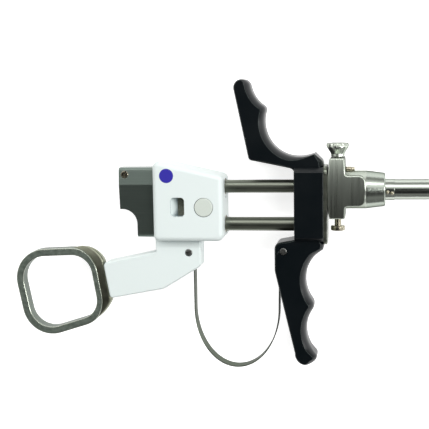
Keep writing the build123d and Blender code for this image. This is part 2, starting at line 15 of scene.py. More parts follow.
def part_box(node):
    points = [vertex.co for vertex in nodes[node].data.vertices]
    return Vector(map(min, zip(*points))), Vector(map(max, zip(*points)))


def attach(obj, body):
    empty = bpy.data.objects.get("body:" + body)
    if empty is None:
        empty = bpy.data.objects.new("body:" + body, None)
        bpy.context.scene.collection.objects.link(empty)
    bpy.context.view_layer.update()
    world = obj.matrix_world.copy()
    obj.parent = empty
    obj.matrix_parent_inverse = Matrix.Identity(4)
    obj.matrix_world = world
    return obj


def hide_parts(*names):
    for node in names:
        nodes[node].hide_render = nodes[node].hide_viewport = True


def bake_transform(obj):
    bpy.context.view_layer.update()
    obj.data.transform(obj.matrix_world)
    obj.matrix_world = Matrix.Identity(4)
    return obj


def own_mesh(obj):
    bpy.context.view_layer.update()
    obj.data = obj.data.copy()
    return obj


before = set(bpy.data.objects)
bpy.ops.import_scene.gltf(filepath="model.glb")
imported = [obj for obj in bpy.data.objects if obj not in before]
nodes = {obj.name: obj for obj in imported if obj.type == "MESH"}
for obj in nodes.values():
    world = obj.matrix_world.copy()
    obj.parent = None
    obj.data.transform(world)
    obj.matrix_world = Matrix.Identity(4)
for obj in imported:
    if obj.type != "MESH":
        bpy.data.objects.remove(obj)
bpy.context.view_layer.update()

# %% [markdown]
# The drawing of this instrument is in millimetres and Blender works in metres. One small helper
# turns drawing sizes into metres, so that every size below reads as it would on the drawing.

# %% Millimetres
MM = 0.001


def mm(*values):
    """Millimetres to metres, for one value or for a point."""
    if len(values) == 1:
        return values[0] * MM
    return tuple(value * MM for value in values)


floor_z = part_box("slide_block")[0][2]
print("the part rests at", round(floor_z / MM, 2), "mm")

# %% [markdown]
# ## Camera
# The instrument lies on a table and is seen from nearly straight above, turned a little to its
# front. A long lens keeps its outlines true. The camera is set from four readable values: two
# angles, a roll and a distance from the point that it looks at.

# %% Camera
look_at = Vector(mm(-68.1, -10.1, 0.0))
camera_right = math.radians(9.0)
camera_above = math.radians(7.0)
camera_roll = math.radians(1.0)
camera_distance = mm(405.0)
sensor_width = 36.0
lens_length = 83.9


def aim_camera():
    """Places the camera on a ray from the target and rolls it about that ray."""
    back = Vector(
        (
            math.sin(camera_right) * math.cos(camera_above),
            math.sin(camera_above),
            math.cos(camera_right) * math.cos(camera_above),
        )
    )
    right = Vector((0, 1, 0)).cross(back).normalized()
    up = back.cross(right)
    turned_right = right * math.cos(camera_roll) - up * math.sin(camera_roll)
    turned_up = right * math.sin(camera_roll) + up * math.cos(camera_roll)
    axes = Matrix((turned_right, turned_up, back)).transposed().to_4x4()
    lens = bpy.data.cameras.new("camera")
    lens.sensor_width = sensor_width
    lens.lens = lens_length
    lens.clip_start = 0.01
    camera = bpy.data.objects.new("camera", lens)
    camera.matrix_world = Matrix.Translation(look_at + back * camera_distance) @ axes
    bpy.context.scene.collection.objects.link(camera)
    bpy.context.scene.camera = camera
    return camera


camera = aim_camera()
print("camera at", [round(v / MM, 1) for v in camera.location])

# %% [markdown]
# ## Node helpers
# Shader trees are easier to read when one line makes a node and links it. Each helper takes a tree
# and sockets or plain values, and returns the socket that holds its result.

# %% Node helpers


def math_node(tree, operation, first, second=None):
    """A math node whose inputs are sockets or numbers."""
    node = tree.nodes.new("ShaderNodeMath")
    node.operation = operation
    for socket, value in zip(node.inputs, (first, second)):
        if value is None:
            continue
        if isinstance(value, (int, float)):
            socket.default_value = value
        else:
            tree.links.new(value, socket)
    return node.outputs[0]


def map_range(tree, value, from_pair, to_pair=(0.0, 1.0)):
    """The value, carried from one range to another and held inside it."""
    node = tree.nodes.new("ShaderNodeMapRange")
    for label, pair in (("From", from_pair), ("To", to_pair)):
        node.inputs[f"{label} Min"].default_value, node.inputs[f"{label} Max"].default_value = pair
    tree.links.new(value, node.inputs["Value"])
    return node.outputs[0]


def mix_colours(tree, factor, first, second):
    """A colour that a mask runs from the first to the second; each is a colour or a socket."""
    mix = tree.nodes.new("ShaderNodeMix")
    mix.data_type = "RGBA"
    tree.links.new(factor, mix.inputs[0])
    for socket, value in ((mix.inputs[6], first), (mix.inputs[7], second)):
        if isinstance(value, tuple):
            socket.default_value = (*value, 1)
        else:
            tree.links.new(value, socket)
    return mix.outputs[2]


# %% [markdown]
# ## Floor and light
# The table is a plain white sheet. The camera sees it close to white, because its material adds a
# little glow for camera, glossy and transmission rays only, and it still takes the object's
# shadow. Polished bar needs something dark to mirror as well as something bright, so the room has a
# dark patch overhead, a bright band round it and dimmer walls. Three narrow lamps draw the thin
# bright lines on round bars and rims: one beyond the hook, and two on the sheath's side.

# %% Floor
floor_half = 1.5
floor_grey = 0.80
floor_glow = 0.75


def make_floor():
    """A square white sheet under the part, marked as stage."""
    mesh = bpy.data.meshes.new("table")
    signs = ((-1, -1), (1, -1), (1, 1), (-1, 1))
    corners = [(x * floor_half, y * floor_half, floor_z) for x, y in signs]
    mesh.from_pydata(corners, [], [(0, 1, 2, 3)])
    table = bpy.data.objects.new("table", mesh)
    bpy.context.scene.collection.objects.link(table)
    material = bpy.data.materials.new("white_table")
    material.use_nodes = True
    tree = material.node_tree
    tree.nodes.clear()
    diffuse = tree.nodes.new("ShaderNodeBsdfDiffuse")
    diffuse.inputs["Color"].default_value = (floor_grey, floor_grey, floor_grey, 1)
    glow = tree.nodes.new("ShaderNodeEmission")
    rays = tree.nodes.new("ShaderNodeLightPath")
    seen = math_node(tree, "MAXIMUM", rays.outputs["Is Camera Ray"], rays.outputs["Is Glossy Ray"])
    seen = math_node(tree, "MAXIMUM", seen, rays.outputs["Is Transmission Ray"])
    add = tree.nodes.new("ShaderNodeAddShader")
    out = tree.nodes.new("ShaderNodeOutputMaterial")
    link = tree.links.new
    link(math_node(tree, "MULTIPLY", seen, floor_glow), glow.inputs["Strength"])
    link(diffuse.outputs[0], add.inputs[0])
    link(glow.outputs[0], add.inputs[1])
    link(add.outputs[0], out.inputs["Surface"])
    mesh.materials.append(material)


make_floor()

# %% World and lamps
# The dark patch lies this way, and the bands give the room's colour from the walls towards it.
dark_patch = Vector((-0.13, -0.24, 0.96))
room_bands = (
    (0.10, (0.35, 0.35, 0.34)),
    (0.40, (1.25, 1.25, 1.225)),
    (0.74, (1.25, 1.25, 1.225)),
    (0.91, (0.03, 0.03, 0.03)),
)
# The room is dimmer towards the grip's foot than towards its hook.
dimming_span = (-0.9, 0.6)
foot_side, hook_side = 0.2, 1.15


def make_world():
    """A room that is dark overhead, bright in a band round that and most on the hook's side."""
    world = bpy.data.worlds.new("studio")
    bpy.context.scene.world = world
    world.use_nodes = True
    tree = world.node_tree
    background = tree.nodes["Background"]
    rays = tree.nodes.new("ShaderNodeLightPath")
    place = tree.nodes.new("ShaderNodeTexCoord")
    from_patch = tree.nodes.new("ShaderNodeVectorMath")
    from_patch.operation = "DOT_PRODUCT"
    from_patch.inputs[1].default_value = dark_patch.normalized()
    room = tree.nodes.new("ShaderNodeValToRGB")
    room.color_ramp.interpolation = "EASE"
    stops = room.color_ramp.elements
    walls, *band, patch = room_bands
    for stop, (position, colour) in zip(stops, (walls, patch)):
        stop.position, stop.color = position, (*colour, 1)
    for position, colour in band:
        stops.new(position).color = (*colour, 1)
    split = tree.nodes.new("ShaderNodeSeparateXYZ")
    lit = tree.nodes.new("ShaderNodeVectorMath")
    lit.operation = "SCALE"
    link = tree.links.new
    link(place.outputs["Generated"], from_patch.inputs[0])
    link(from_patch.outputs["Value"], room.inputs[0])
    link(place.outputs["Generated"], split.inputs[0])
    side = map_range(tree, split.outputs["Y"], dimming_span, (foot_side, hook_side))
    link(room.outputs["Color"], lit.inputs[0])
    link(side, lit.inputs["Scale"])
    shown = mix_colours(tree, rays.outputs["Is Camera Ray"], lit.outputs[0], (1.0, 1.0, 1.0))
    link(shown, background.inputs["Color"])


def soft_lamp(name, place, target, size, power):
    """A rectangular soft lamp that faces the target."""
    light = bpy.data.lights.new(name, "AREA")
    light.shape = "RECTANGLE"
    light.size, light.size_y = size
    light.energy = power
    lamp = bpy.data.objects.new(name, light)
    lamp.location = place
    lamp.rotation_euler = (Vector(target) - Vector(place)).to_track_quat("-Z", "Y").to_euler()
    bpy.context.scene.collection.objects.link(lamp)


make_world()
lamp_target = (-0.06, 0, 0)
soft_lamp("lamp_right", (0.45, 0.05, 0.58), lamp_target, (0.12, 0.5), 1.5)
soft_lamp("lamp_low", (0.62, 0.04, 0.22), lamp_target, (0.10, 0.5), 1.3)
soft_lamp("lamp_above", (-0.05, 0.50, 0.55), lamp_target, (0.8, 0.08), 1.2)
bpy.context.scene.view_settings.view_transform = "Standard"

# %% [markdown]
# ## Shared effects
# Real surfaces are never one flat value. Four effects are shared by the finishes here, so each is
# a node group: a fine grain that varies a value slowly and gives a height for bumps, brushed lines
# that run along one direction, a mask of worn edges that also paints thin edge highlights, and the
# slight crown that grinding leaves on a flat face. They read object coordinates, which here are
# metres.

# %% Node group helpers


def new_group(name, inputs, outputs):
    """A shader group with named sockets: (kind, name, default) in, (kind, name) out."""
    group = bpy.data.node_groups.new(name, "ShaderNodeTree")
    for kind, label, default in inputs:
        socket = group.interface.new_socket(label, in_out="INPUT", socket_type=kind)
        socket.default_value = default
    for kind, label in outputs:
        group.interface.new_socket(label, in_out="OUTPUT", socket_type=kind)
    return group, group.nodes.new("NodeGroupInput"), group.nodes.new("NodeGroupOutput")


# %% Grain group


def make_grain_group():
    """Cloudy variation and a fine pebbled height, from two sizes of noise."""
    group, source, sink = new_group(
        "grain",
        [("NodeSocketFloat", "Fine Scale", 3000.0), ("NodeSocketFloat", "Cloud Scale", 60.0)],
        [("NodeSocketFloat", "Cloud"), ("NodeSocketFloat", "Height")],
    )
    place = group.nodes.new("ShaderNodeTexCoord")
    fine = group.nodes.new("ShaderNodeTexNoise")
    fine.inputs["Detail"].default_value = 3.0
    cloud = group.nodes.new("ShaderNodeTexNoise")
    cloud.inputs["Detail"].default_value = 4.0
    link = group.links.new
    link(place.outputs["Object"], fine.inputs["Vector"])
    link(place.outputs["Object"], cloud.inputs["Vector"])
    link(source.outputs["Fine Scale"], fine.inputs["Scale"])
    link(source.outputs["Cloud Scale"], cloud.inputs["Scale"])
    link(cloud.outputs["Fac"], sink.inputs["Cloud"])
    link(fine.outputs["Fac"], sink.inputs["Height"])
    return group


grain_group = make_grain_group()

# %% Brushed group


def make_brushed_group():
    """Long thin streaks, made by stretching noise: small scale along the brush, large across."""
    group, source, sink = new_group(
        "brushed",
        [("NodeSocketVector", "Stretch", (40.0, 3500.0, 3500.0))],
        [("NodeSocketFloat", "Streak"), ("NodeSocketFloat", "Height")],
    )
    place = group.nodes.new("ShaderNodeTexCoord")
    scaled = group.nodes.new("ShaderNodeVectorMath")
    scaled.operation = "MULTIPLY"
    lines = group.nodes.new("ShaderNodeTexNoise")
    lines.inputs["Scale"].default_value = 1.0
    lines.inputs["Detail"].default_value = 2.0
    wide = group.nodes.new("ShaderNodeTexNoise")
    wide.inputs["Scale"].default_value = 0.22
    wide.inputs["Detail"].default_value = 2.0
    link = group.links.new
    link(place.outputs["Object"], scaled.inputs[0])
    link(source.outputs["Stretch"], scaled.inputs[1])
    link(scaled.outputs[0], lines.inputs["Vector"])
    link(scaled.outputs[0], wide.inputs["Vector"])
    link(lines.outputs["Fac"], sink.inputs["Height"])
    mixed = math_node(group, "MULTIPLY", lines.outputs["Fac"], wide.outputs["Fac"])
    link(math_node(group, "MULTIPLY", mixed, 2.0), sink.inputs["Streak"])
    return group


brushed_group = make_brushed_group()

# %% Edge group


def make_wear_and_highlight_group():
    """A mask of worn edges and painted edge highlights, where a softened normal leaves the true
    one, broken up by noise.
    """
    group, source, sink = new_group(
        "edge_wear_and_highlight",
        [("NodeSocketFloat", "Width", 0.0003)],
        [("NodeSocketFloat", "Mask")],
    )
    true = group.nodes.new("ShaderNodeNewGeometry")
    soft = group.nodes.new("ShaderNodeBevel")
    soft.samples = 6
    compare = group.nodes.new("ShaderNodeVectorMath")
    compare.operation = "DOT_PRODUCT"
    place = group.nodes.new("ShaderNodeTexCoord")
    noise = group.nodes.new("ShaderNodeTexNoise")
    noise.inputs["Scale"].default_value = 700.0
    link = group.links.new
    link(source.outputs["Width"], soft.inputs["Radius"])
    link(soft.outputs["Normal"], compare.inputs[0])
    link(true.outputs["Normal"], compare.inputs[1])
    edges = map_range(group, compare.outputs["Value"], (0.99, 0.95))
    link(place.outputs["Object"], noise.inputs["Vector"])
    link(math_node(group, "MULTIPLY", edges, noise.outputs["Fac"]), sink.inputs["Mask"])
    return group


wear_and_highlight_group = make_wear_and_highlight_group()

# %% Crown group


def make_crown_group():
    """The height of a shallow barrel that is highest at y = 0; a large radius is nearly flat."""
    group, source, sink = new_group(
        "crown",
        [("NodeSocketFloat", "Radius", 0.12)],
        [("NodeSocketFloat", "Height")],
    )
    place = group.nodes.new("ShaderNodeTexCoord")
    split = group.nodes.new("ShaderNodeSeparateXYZ")
    group.links.new(place.outputs["Object"], split.inputs[0])
    squared = math_node(group, "MULTIPLY", split.outputs["Y"], split.outputs["Y"])
    fall = math_node(group, "DIVIDE", squared, source.outputs["Radius"])
    group.links.new(math_node(group, "MULTIPLY", fall, -0.5), sink.inputs["Height"])
    return group


crown_group = make_crown_group()
print("groups:", [g.name for g in bpy.data.node_groups])

# %% [markdown]
# ## Finishes
# Each finish has its own Principled shader. The helper below wires the usual parts: a base colour
# that drifts between two tones, a roughness that follows the grain, worn edges that also paint thin
# edge highlights, painted shade in recesses where a finish asks for it, and a fine bump.

# %% Finish helper


def painted_shade_mask(tree):
    """Where shade is painted: 1 deep inside a recess or where parts meet, and 0 on open faces."""
    open_sky = tree.nodes.new("ShaderNodeAmbientOcclusion")
    open_sky.inputs["Distance"].default_value = mm(4.0)
    open_sky.samples = 16
    return map_range(tree, open_sky.outputs["AO"], (0.80, 0.35))


def finish(
    name,
    tone,
    drift,
    rough,
    metallic=0.0,
    worn_edge_and_highlight=None,
    bump=0.02,
    brush=None,
    fine=3000.0,
    cloud=60.0,
    shine=0.5,
    painted_shade=None,
    glancing=None,
    crown=None,
):
    """A procedural finish that runs between the colours tone and drift.

    rough is (least, most). The edge colour is that of rubbed edges and also paints thin edge
    highlights, and the recess colour is painted shade in recesses and along joints. brush is the
    stretch of brushed lines, fine and cloud are scales of the grain, and shine is the gloss of a
    plastic. glancing is how much of a metal's reflection is left near its outline, and crown is the
    radius of a crowned face, in metres.
    """
    material = bpy.data.materials.new(name)
    material.use_nodes = True
    tree = material.node_tree
    shader = tree.nodes["Principled BSDF"]
    shader.inputs["Metallic"].default_value = metallic
    shader.inputs["Specular IOR Level"].default_value = shine
    if glancing:
        shader.inputs["Specular Tint"].default_value = (glancing, glancing, glancing, 1)
    grain = tree.nodes.new("ShaderNodeGroup")
    grain.node_tree = grain_group
    grain.inputs["Fine Scale"].default_value = fine
    grain.inputs["Cloud Scale"].default_value = cloud
    colour = mix_colours(tree, grain.outputs["Cloud"], tone, drift)
    height = grain.outputs["Height"]
    variation = grain.outputs["Cloud"]
    if brush:
        streaks = tree.nodes.new("ShaderNodeGroup")
        streaks.node_tree = brushed_group
        streaks.inputs["Stretch"].default_value = brush
        height = streaks.outputs["Height"]
        variation = streaks.outputs["Streak"]
        colour = mix_colours(tree, variation, tone, drift)
    # Worn edges; on the metals and the grip their pale colour is also a painted edge highlight.
    if worn_edge_and_highlight:
        edge = tree.nodes.new("ShaderNodeGroup")
        edge.node_tree = wear_and_highlight_group
        colour = mix_colours(tree, edge.outputs["Mask"], colour, worn_edge_and_highlight)
    # Painted shade: ambient occlusion darkens recesses and the lines where parts touch towards the
    # shade colour.
    if painted_shade:
        colour = mix_colours(tree, painted_shade_mask(tree), colour, painted_shade)
    tree.links.new(colour, shader.inputs["Base Color"])
    tree.links.new(map_range(tree, variation, (0.3, 0.7), rough), shader.inputs["Roughness"])
    relief = tree.nodes.new("ShaderNodeBump")
    relief.inputs["Strength"].default_value = bump
    relief.inputs["Distance"].default_value = mm(0.1)
    tree.links.new(height, relief.inputs["Height"])
    if crown:
        barrel = tree.nodes.new("ShaderNodeGroup")
        barrel.node_tree = crown_group
        barrel.inputs["Radius"].default_value = crown
        bulge = tree.nodes.new("ShaderNodeBump")
        bulge.inputs["Distance"].default_value = 1.0
        tree.links.new(barrel.outputs["Height"], bulge.inputs["Height"])
        tree.links.new(bulge.outputs[0], relief.inputs["Normal"])
    tree.links.new(relief.outputs[0], shader.inputs["Normal"])
    return material


# %% Plastics
# The grip's lighter edge colour is partly wear and partly a painted highlight along its rims.
black_grip = finish(
    "black_grip", (0.001, 0.003, 0.0045), (0.003, 0.005, 0.0065), (0.28, 0.36),
    worn_edge_and_highlight=(0.14, 0.17, 0.16), bump=0.08, shine=0.3,
)
# The white plastic gets painted grey-blue shade in its window and along its joints.
white_plastic = finish(
    "white_plastic", (0.87, 0.95, 0.94), (0.84, 0.92, 0.91), (0.34, 0.46), bump=0.05,
    painted_shade=(0.20, 0.26, 0.28),
)
grey_plastic = finish(
    "grey_plastic", (0.72, 0.78, 0.72), (0.66, 0.72, 0.66), (0.34, 0.45),
    worn_edge_and_highlight=(0.55, 0.60, 0.56), bump=0.05,
)
bush_plastic = finish(
    "bush_plastic", (0.42, 0.36, 0.26), (0.38, 0.32, 0.22), (0.40, 0.52), bump=0.05,
)
blue_marker = finish(
    "blue_marker", (0.050, 0.040, 0.45), (0.040, 0.032, 0.38), (0.25, 0.35), bump=0.03,
)
seal_rubber = finish(
    "seal_rubber", (0.012, 0.012, 0.012), (0.02, 0.02, 0.02), (0.55, 0.7), bump=0.1,
)
ceramic = finish("ceramic", (0.80, 0.77, 0.70), (0.76, 0.73, 0.66), (0.18, 0.28), bump=0.02)

# %% [markdown]
# Steel shows how it was worked. The ring is blasted satin with polished rims. The lock housing is
# brushed across its length and slightly crowned, so it runs from dark to bright. The cone is
# turned on a lathe. The rear block, the bars and the sheath are worked along their length, the
# block and the bars coarsely and the sheath to a polish.

# %% Metals
ring_steel = finish(
    "ring_steel", (0.05, 0.07, 0.055), (0.24, 0.28, 0.24), (0.36, 0.56), 0.4, bump=0.30,
    fine=2200.0, cloud=650.0,
)
ring_edge = finish(
    "ring_edge", (0.36, 0.40, 0.34), (0.52, 0.55, 0.48), (0.16, 0.28), 1.0, bump=0.05,
    cloud=500.0,
)
ring_polish = finish(
    "ring_polish", (0.22, 0.23, 0.17), (0.34, 0.35, 0.27), (0.30, 0.42), 1.0, bump=0.04,
    cloud=300.0,
)
# The pale edge colours of the rear block, the housing and the cone are partly wear and partly
# painted highlight lines along their edges.
block_steel = finish(
    "block_steel", (0.17, 0.21, 0.19), (0.20, 0.245, 0.22), (0.28, 0.34), 0.89,
    worn_edge_and_highlight=(0.6, 0.62, 0.58), brush=(90.0, 9000.0, 9000.0), bump=0.04,
)
housing_steel = finish(
    "housing_steel", (0.44, 0.48, 0.42), (0.49, 0.53, 0.47), (0.27, 0.33), 1.0,
    worn_edge_and_highlight=(0.9, 0.9, 0.84), brush=(4000.0, 60.0, 4000.0), bump=0.005, glancing=0.15, crown=0.062,
)
turned_steel = finish(
    "turned_steel", (0.38, 0.42, 0.37), (0.44, 0.48, 0.43), (0.20, 0.25), 1.0,
    worn_edge_and_highlight=(0.8, 0.8, 0.75), brush=(3000.0, 20.0, 20.0), bump=0.0012, glancing=0.1,
)
polished_steel = finish(
    "polished_steel", (0.46, 0.50, 0.45), (0.52, 0.55, 0.50), (0.17, 0.25), 1.0,
    brush=(12.0, 3000.0, 3000.0), bump=0.015, glancing=0.1,
)
rod_steel = finish(
    "rod_steel", (0.15, 0.17, 0.14), (0.22, 0.23, 0.19), (0.32, 0.44), 1.0,
    brush=(60.0, 4000.0, 4000.0), bump=0.03,
)
clamp_metal = finish(
    "clamp_metal", (0.14, 0.15, 0.12), (0.32, 0.33, 0.27), (0.40, 0.55), 0.5, bump=0.6,
    fine=1400.0, cloud=900.0,
)
spring_steel = finish(
    "spring_steel", (0.12, 0.14, 0.11), (0.16, 0.185, 0.145), (0.26, 0.38), 1.0,
    brush=(200.0, 200.0, 2500.0), bump=0.05, glancing=0.5,
)
pin_steel = finish(
    "pin_steel", (0.36, 0.37, 0.35), (0.46, 0.47, 0.45), (0.25, 0.35), 1.0,
    brush=(900.0, 900.0, 900.0), bump=0.05,
)
warm_steel = finish(
    "warm_steel", (0.34, 0.31, 0.23), (0.46, 0.43, 0.34), (0.18, 0.30), 1.0,
    brush=(800.0, 800.0, 800.0), bump=0.04,
)
brass = finish(
    "brass", (0.62, 0.44, 0.18), (0.70, 0.52, 0.24), (0.22, 0.34), 1.0,
    brush=(800.0, 800.0, 800.0), bump=0.04,
)
print("materials:", len(bpy.data.materials))

# %% [markdown]
# ## Dressing the CAD nodes
# Most nodes keep their CAD shape. Machined corners are never razor sharp, so each of these nodes
# gets a thin bevel: weld joins the facets, planar dissolve turns flat fans back into whole faces,
# and the bevel then finds only the true edges. These are modifiers, so the mesh is untouched.

# %% Assign finishes
finish_of = {
    "face_plate": rod_steel,
    "face_plate_screws": pin_steel,
    "coupling_nose": housing_steel,
    "nose_seal": seal_rubber,
    "telescope_tube": rod_steel,
    "guide_rod": rod_steel,
    "rear_block": block_steel,
    "clamp_screw": warm_steel,
    "grip_pin": pin_steel,
    "arm_pin": pin_steel,
    "finger_grip": black_grip,
    "leaf_spring": spring_steel,
    "lock_spring": spring_steel,
    "button_spring": spring_steel,
    "sheath_housing": housing_steel,
    "sheath_cone": turned_steel,
    "sheath_tube": polished_steel,
    "insulating_tip": ceramic,
    "index_pips": warm_steel,
    "index_stud": warm_steel,
    "lock_plate": housing_steel,
    "lock_knob": housing_steel,
    "lock_button": warm_steel,
    "slide_block": white_plastic,
    "thumb_arm": white_plastic,
    "upper_bush": bush_plastic,
    "lower_bush": bush_plastic,
    "marker_plug": blue_marker,
    "hf_socket": brass,
    "electrode_clamp": clamp_metal,
    "release_button": grey_plastic,
    "arm_screws": pin_steel,
    "retaining_screw": pin_steel,
    "thumb_ring": ring_steel,
    "ring_pivot": pin_steel,
}


def dress(name, material, eased=0.12, dissolve=True):
    """Gives a CAD node its finish and eases its edges with modifiers."""
    node = nodes[name]
    for slot in node.material_slots:
        slot.material = material
    weld = node.modifiers.new("weld", "WELD")
    weld.merge_threshold = mm(0.002)
    if dissolve:
        whole = node.modifiers.new("whole_faces", "DECIMATE")
        whole.decimate_type = "DISSOLVE"
        whole.angle_limit = math.radians(0.5)
    bevel = node.modifiers.new("eased_edges", "BEVEL")
    bevel.width = mm(eased)
    bevel.segments = 2
    bevel.limit_method = "ANGLE"
    bevel.angle_limit = math.radians(35)
    weighted = node.modifiers.new("flat_faces", "WEIGHTED_NORMAL")
    weighted.keep_sharp = True
    weighted.weight = 50


# These two have large faces with holes in them, which shade better as the facets they came as.
pierced = ("slide_block", "thumb_arm")
redrawn = ("finger_grip", "thumb_ring", "leaf_spring", "lock_spring", "button_spring")
for node_name, node_finish in finish_of.items():
    if node_name not in redrawn:
        dress(node_name, node_finish, dissolve=node_name not in pierced)
print("dressed:", len(finish_of), "of", len(nodes))

# %% [markdown]
# ## Outlines
# The pieces that CAD left plain are drawn again from their outlines, in the drawing's millimetres.
# A few helpers are enough: an arc through three points, an arc about a centre, a path with rounded
# corners, and a loop drawn again a little smaller, which is how a rim gets its eased edge.

# %% Outline helpers


def turn_arc(centre, radius, start, sweep, steps=24):
    """Points on an arc about a centre, in degrees, with both ends."""
    angles = [math.radians(start + sweep * i / steps) for i in range(steps + 1)]
    return [(centre[0] + radius * math.cos(a), centre[1] + radius * math.sin(a)) for a in angles]


def arc(first, middle, last, steps=24):
    """Points on the arc through three points, with both ends."""
    (ax, ay), (bx, by), (cx, cy) = first, middle, last
    twice_area = 2 * (ax * (by - cy) + bx * (cy - ay) + cx * (ay - by))
    a2, b2, c2 = ax * ax + ay * ay, bx * bx + by * by, cx * cx + cy * cy
    x = (a2 * (by - cy) + b2 * (cy - ay) + c2 * (ay - by)) / twice_area
    y = (a2 * (cx - bx) + b2 * (ax - cx) + c2 * (bx - ax)) / twice_area
    start = math.degrees(math.atan2(ay - y, ax - x))
    sweep = math.degrees(math.atan2(cy - y, cx - x)) - start
    if twice_area > 0 and sweep < 0:
        sweep += 360
    if twice_area < 0 and sweep > 0:
        sweep -= 360
    return turn_arc((x, y), math.hypot(ax - x, ay - y), start, sweep, steps)


def rounded(corners, radii, steps=12):
    """A closed path through the corners, each rounded to its radius; radius 0 leaves it sharp."""
    path = []
    for i, radius in enumerate(radii):
        corner = Vector(corners[i])
        to_last = (Vector(corners[i - 1]) - corner).normalized()
        to_next = (Vector(corners[(i + 1) % len(corners)]) - corner).normalized()
        if not radius:
            path.append(tuple(corner))
            continue
        half_angle = to_last.angle(to_next) / 2
        reach = radius / math.tan(half_angle)
        centre = corner + (to_last + to_next).normalized() * radius / math.sin(half_angle)
        first, last = corner + to_last * reach, corner + to_next * reach
        middle = centre + (corner - centre).normalized() * radius
        path += arc(tuple(first), tuple(middle), tuple(last), steps)
    return path


def spaced(loop, gap):
    """A closed loop with its points spread evenly, about one gap apart, and no doubles."""
    lengths = [0.0]
    closed = list(loop) + [loop[0]]
    for a, b in zip(closed, closed[1:]):
        lengths.append(lengths[-1] + math.dist(a, b))
    count = max(8, round(lengths[-1] / gap))
    points, k = [], 0
    for i in range(count):
        along = lengths[-1] * i / count
        while lengths[k + 1] < along:
            k += 1
        part = (along - lengths[k]) / (lengths[k + 1] - lengths[k])
        points.append(tuple(p + (q - p) * part for p, q in zip(closed[k], closed[k + 1])))
    return points


def outward(loop):
    """The outward normal at every point of a counter-clockwise loop."""
    normals = []
    for i, point in enumerate(loop):
        last, following = Vector(loop[i - 1]), Vector(loop[(i + 1) % len(loop)])
        along = (following - last).normalized()
        normals.append(Vector((along.y, -along.x)))
    return normals


def counter_clockwise(loop):
    """The loop, turned round if it runs clockwise."""
    area = sum(a[0] * b[1] - b[0] * a[1] for a, b in zip(loop, loop[1:] + loop[:1]))
    return loop if area > 0 else loop[::-1]


# %% Mesh helpers


def new_piece(name, body, material, vertices, faces, sharp=30.0):
    """A mesh object from points in millimetres, smooth except over edges sharper than an angle."""
    mesh = bpy.data.meshes.new(name)
    mesh.from_pydata([mm(*v) for v in vertices], [], faces)
    work = bmesh.new()
    work.from_mesh(mesh)
    bmesh.ops.recalc_face_normals(work, faces=work.faces)
    for face in work.faces:
        face.smooth = True
    for edge in work.edges:
        edge.smooth = len(edge.link_faces) == 2 and edge.calc_face_angle() < math.radians(sharp)
    work.to_mesh(mesh)
    work.free()
    mesh.materials.append(material)
    piece = bpy.data.objects.new(name, mesh)
    bpy.context.scene.collection.objects.link(piece)
    if body:
        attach(piece, body)
        flat_faces(piece)
    return piece


def flat_faces(piece):
    """Keeps large faces looking flat beside rounded rims, by weighting normals with area."""
    weighted = piece.modifiers.new("flat_faces", "WEIGHTED_NORMAL")
    weighted.keep_sharp = True
    weighted.weight = 50


def skin(rings, closed_ends=True):
    """Faces between rings of equal length, with the first and last ring filled."""
    size = len(rings[0])
    vertices = [point for ring in rings for point in ring]
    faces = []
    for k in range(len(rings) - 1):
        for i in range(size):
            j = (i + 1) % size
            faces.append((k * size + i, k * size + j, (k + 1) * size + j, (k + 1) * size + i))
    if closed_ends:
        faces.append(tuple(range(size - 1, -1, -1)))
        faces.append(tuple(range((len(rings) - 1) * size, len(rings) * size)))
    return vertices, faces


def limited(loop, widths):
    """Rim widths, brought down near tight corners until the inner loop never doubles back."""
    count = len(loop)
    normals = outward(loop)
    for _ in range(60):
        inner = [Vector(p) - n * w for p, n, w in zip(loop, normals, widths)]
        back = []
        for i in range(count):
            j = (i + 1) % count
            if (inner[j] - inner[i]).dot(Vector(loop[j]) - Vector(loop[i])) <= 0:
                back.append(i)
        if not back:
            break
        for i in back:
            for k in range(-3, 5):
                widths[(i + k) % count] *= 0.9
    widths = [min(widths[(i + k) % count] for k in range(-2, 3)) for i in range(count)]
    return [sum(widths[(i + k) % count] for k in range(-2, 3)) / 5 for i in range(count)]


def slab_rings(loop, half, easing, steps=4, crease=0.0):
    """Rings of a slab that spans -half to half in z.

    easing gives the rim's width from its normal. crease is how steeply the rim starts, in degrees.
    """
    normals = outward(loop)
    widths = limited(loop, [easing(normal) for normal in normals])
    rings = []
    first = math.radians(crease)
    turns = [first + (math.pi / 2 - first) * i / steps for i in range(steps + 1)]
    for sign, angles in ((-1, turns), (1, turns[::-1])):
        for angle in angles:
            ring = []
            for (x, y), normal, width in zip(loop, normals, widths):
                radius = width / (1 - math.sin(first))
                inset = radius * (1 - math.sin(angle))
                drop = radius * (math.cos(first) - math.cos(angle))
                ring.append((x - normal.x * inset, y - normal.y * inset, sign * (half - drop)))
            rings.append(ring)
    return rings


def carve(piece, cutters):
    """Cuts other pieces out of a piece for good, and removes them."""
    for cutter in cutters:
        cut = piece.modifiers.new("cut", "BOOLEAN")
        cut.object = cutter
        cut.solver = "EXACT"
    cut_piece = piece.evaluated_get(bpy.context.evaluated_depsgraph_get())
    shaped = bpy.data.meshes.new_from_object(cut_piece)
    piece.modifiers.clear()
    piece.data = shaped
    flat_faces(piece)
    for cutter in cutters:
        bpy.data.objects.remove(cutter)


def drum(name, radius, low, high, centre=(0.0, 0.0), steps=48):
    """A plain round bar along z, used for cutting."""
    ring = turn_arc(centre, radius, 0, 360, steps)[:-1]
    vertices, faces = skin([[(x, y, z) for x, y in ring] for z in (low, high)])
    return new_piece(name, None, black_grip, vertices, faces)


def block(name, x, y, z):
    """A plain box from three (low, high) pairs, used for cutting."""
    corners = [(x[0], y[0]), (x[1], y[0]), (x[1], y[1]), (x[0], y[1])]
    vertices, faces = skin([[(p, q, h) for p, q in corners] for h in z])
    return new_piece(name, None, black_grip, vertices, faces)


